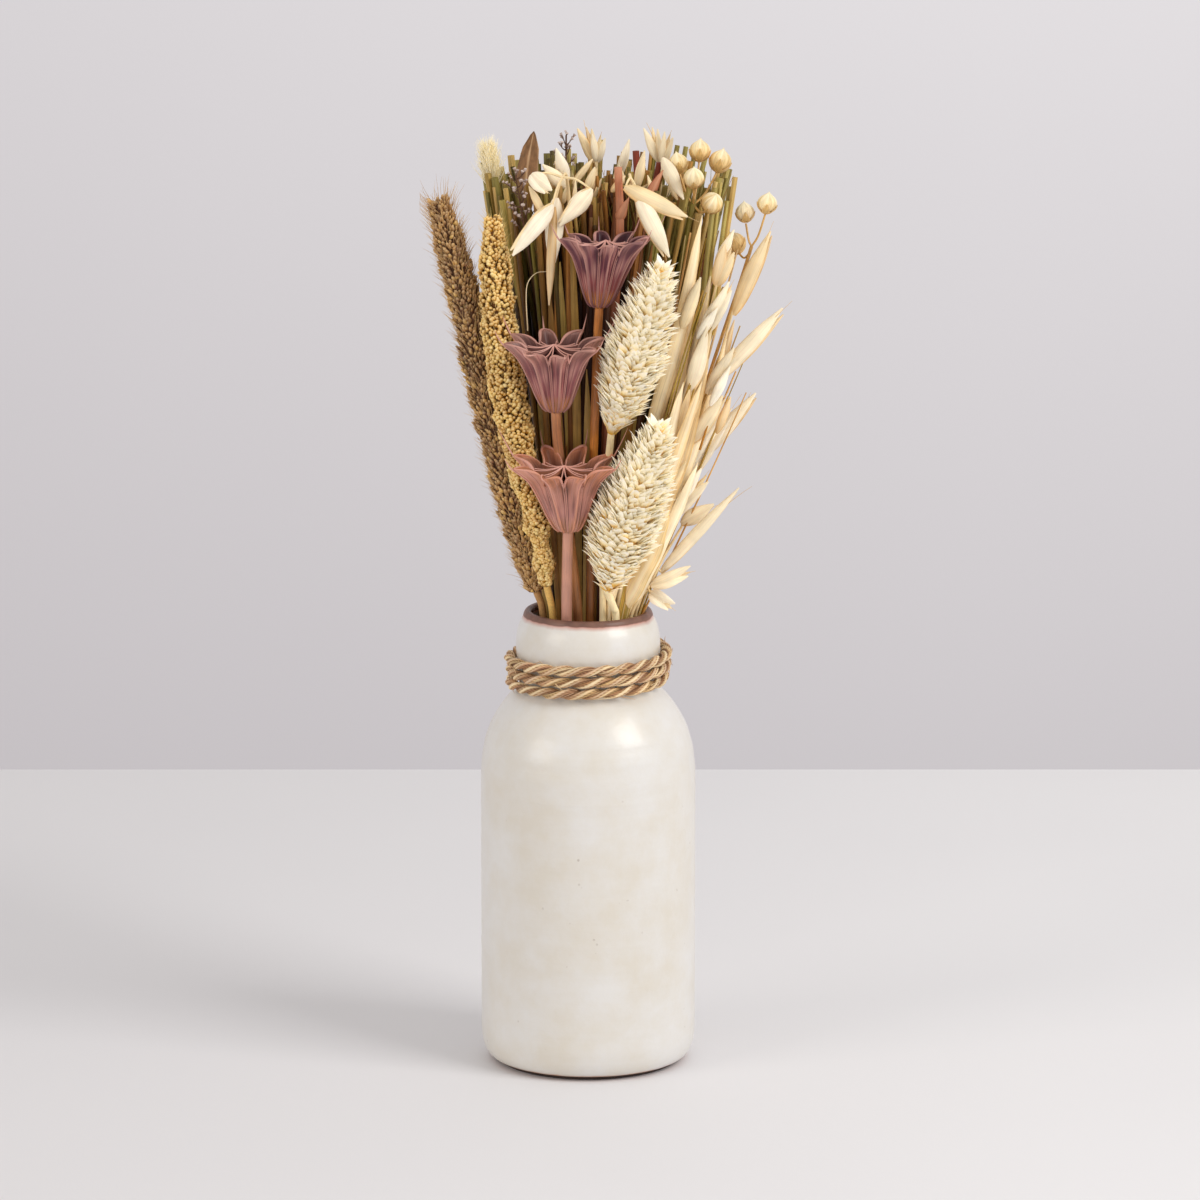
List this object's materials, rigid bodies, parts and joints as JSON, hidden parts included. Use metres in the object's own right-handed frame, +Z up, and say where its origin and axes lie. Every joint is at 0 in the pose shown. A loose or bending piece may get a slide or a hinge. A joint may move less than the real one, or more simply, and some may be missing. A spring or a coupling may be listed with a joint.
{
  "type": "vase of dried flowers",
  "caption": "Cream glazed bottle vase with a rope round its neck, holding a dried bunch of straw, seed pods, millet, canary grass and oats.",
  "frame": {"origin": "centre of the vase's flat base, on the surface it stands on", "axes": "+Z up along the vase's axis, +X to the viewer's right, -Y toward the viewer of the picture"},
  "size_m": [0.1072, 0.075, 0.2859],
  "materials": {
    "cream_glaze": "satin cream glaze over stoneware, bare brown rim",
    "seagrass": "twisted seagrass cord",
    "straw": "dried olive and tan straw",
    "brown_seed": "dry brown bristly seed head",
    "golden_seed": "dry golden millet grain",
    "mauve_pod": "dry mauve-brown pod wall",
    "copper_pod": "dry copper-pink pod wall",
    "cream_bract": "papery cream bracts",
    "pale_husk": "papery tan husk",
    "flax_capsule": "dry flax capsule",
    "brown_leaf": "dry brown leaf",
    "sea_lavender": "dry grey-violet calyx",
    "bunny_fluff": "soft pale grass fluff",
    "pink_stem": "dry pink stem",
    "red_stem": "dry dark red stem"
  },
  "bodies": {
    "root": {"vase": "cream_glaze", "neck_rope": "seagrass", "straw_bundle": "straw", "brown_foxtail_millet": "brown_seed", "golden_foxtail_millet": "golden_seed", "seed_pod_lower": "copper_pod", "seed_pod_middle": "mauve_pod", "seed_pod_upper": "mauve_pod", "canary_grass_lower": "cream_bract", "canary_grass_upper": "cream_bract", "oat_front_left": "pale_husk", "oat_front_right": "pale_husk", "oat_right_low": "pale_husk", "oat_right_middle": "pale_husk", "oat_right_tall": "pale_husk", "oat_right_inner": "pale_husk", "oat_back_left": "pale_husk", "oat_back_right": "pale_husk", "straw_leaf_long": "pale_husk", "straw_leaf_short": "pale_husk", "straw_leaf_side": "pale_husk", "brown_leaf": "brown_leaf", "flax_top": "flax_capsule", "flax_right": "flax_capsule", "sea_lavender_left": "sea_lavender", "sea_lavender_top": "sea_lavender", "bunny_tail": "bunny_fluff", "pink_stem": "pink_stem", "red_stem": "red_stem"}
  },
  "joints": []
}
